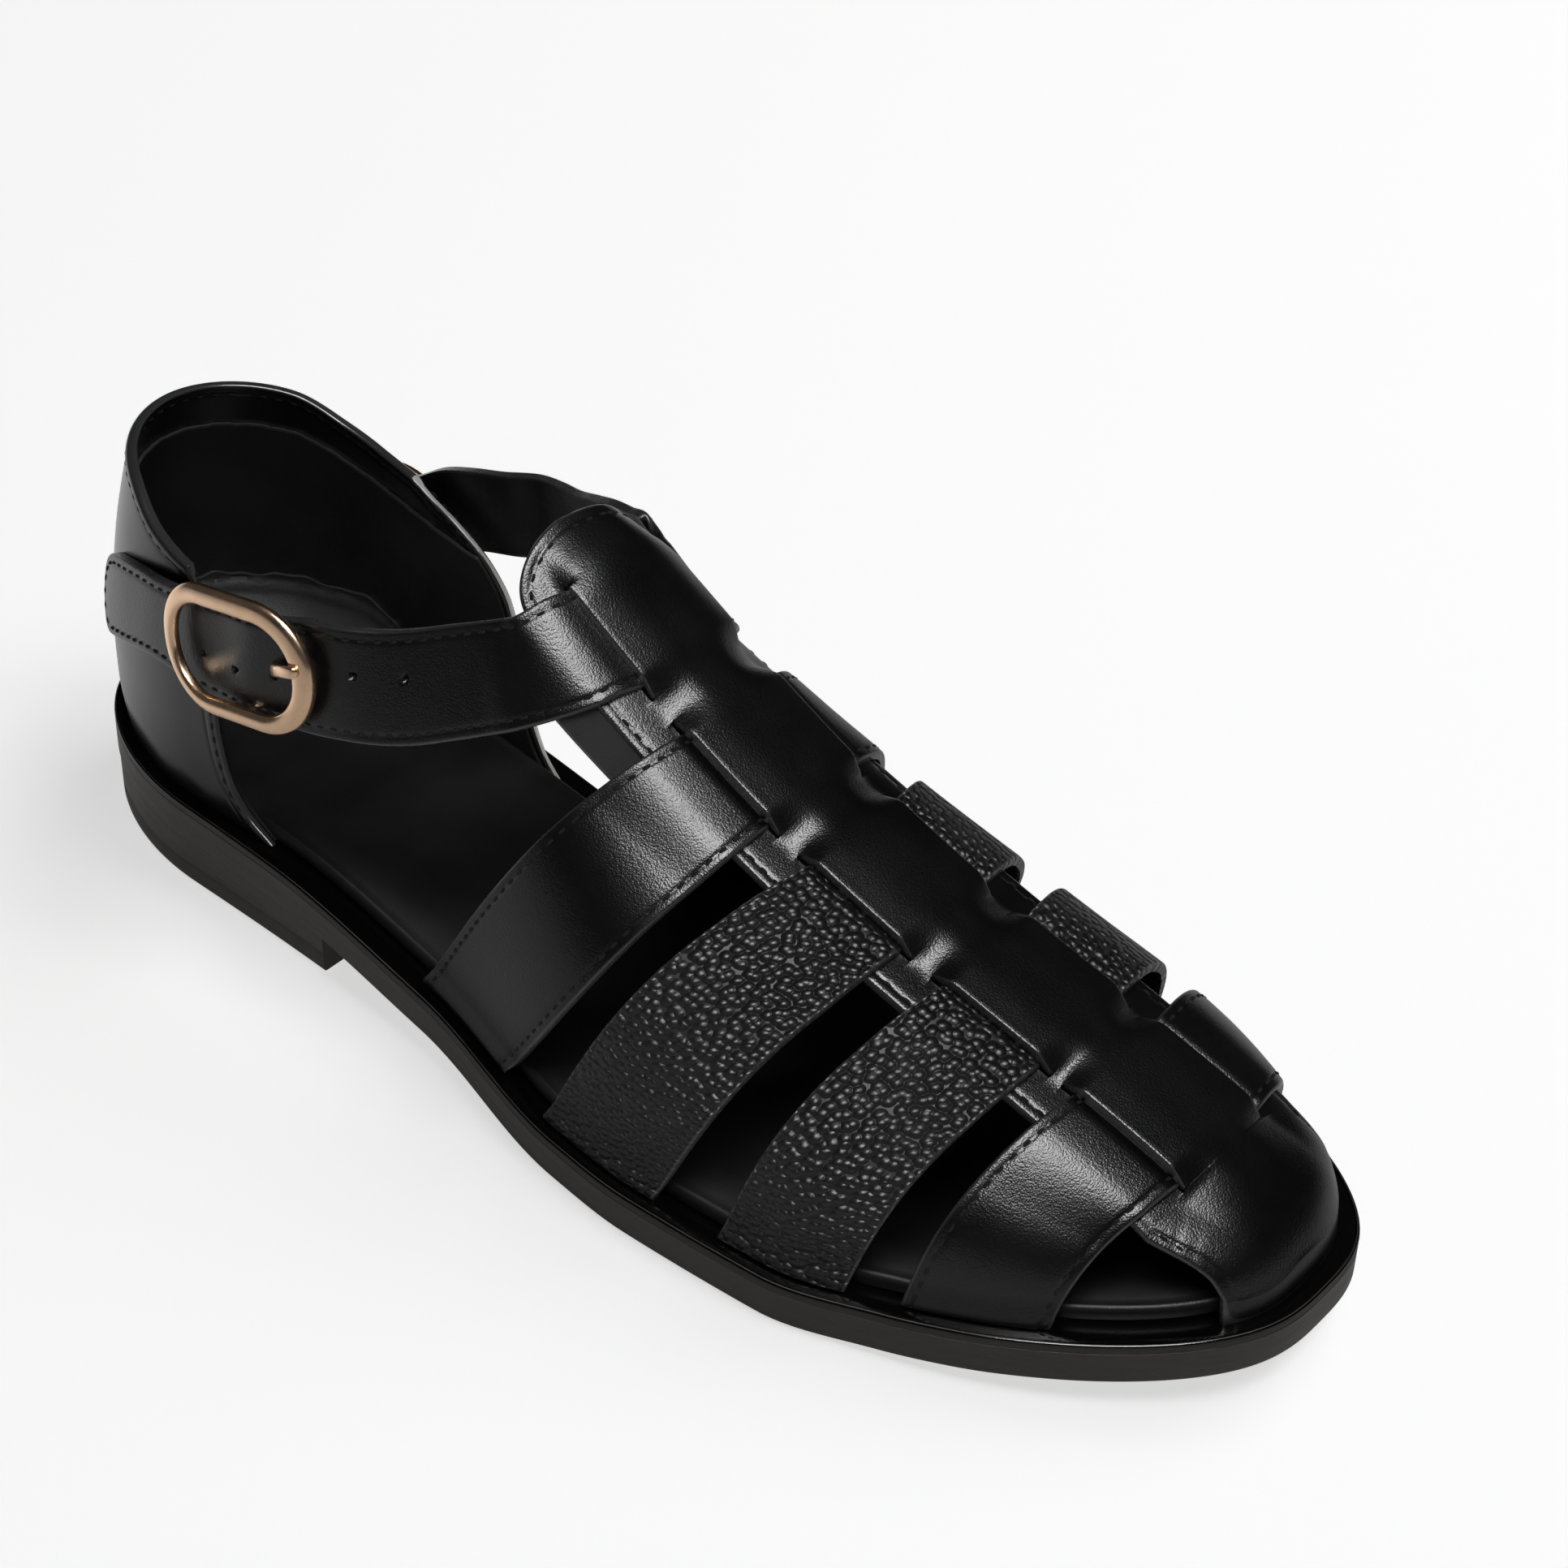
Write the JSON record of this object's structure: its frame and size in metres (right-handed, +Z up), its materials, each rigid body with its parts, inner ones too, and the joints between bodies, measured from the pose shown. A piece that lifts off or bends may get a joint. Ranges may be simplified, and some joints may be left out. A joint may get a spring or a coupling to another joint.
{
  "type": "fisherman sandal",
  "caption": "Closed toe leather fisherman sandal for the right foot, with woven cross straps, an instep strip, buckled ankle bands and a low heel.",
  "frame": {"origin": "on the floor, under the middle of the outsole's outline", "axes": "+X towards the toe, +Y towards the medial side of this right shoe, +Z up"},
  "size_m": [0.285, 0.0977, 0.1048],
  "materials": {
    "smooth_leather": "smooth polished black leather",
    "lining_leather": "matte black leather sock",
    "sole_edge": "matte brown black sole edge",
    "glossy_welt": "glossy black welt",
    "rose_gold": "polished light rose gold metal"
  },
  "bodies": {
    "root": {"outsole": "sole_edge", "heel_block": "sole_edge", "welt": "glossy_welt", "insole": "lining_leather", "upper": "smooth_leather", "heel_counter": "smooth_leather", "buckle_frame_lateral": "rose_gold", "buckle_frame_medial": "rose_gold", "buckle_prong_lateral": "rose_gold", "buckle_prong_medial": "rose_gold"}
  },
  "joints": []
}
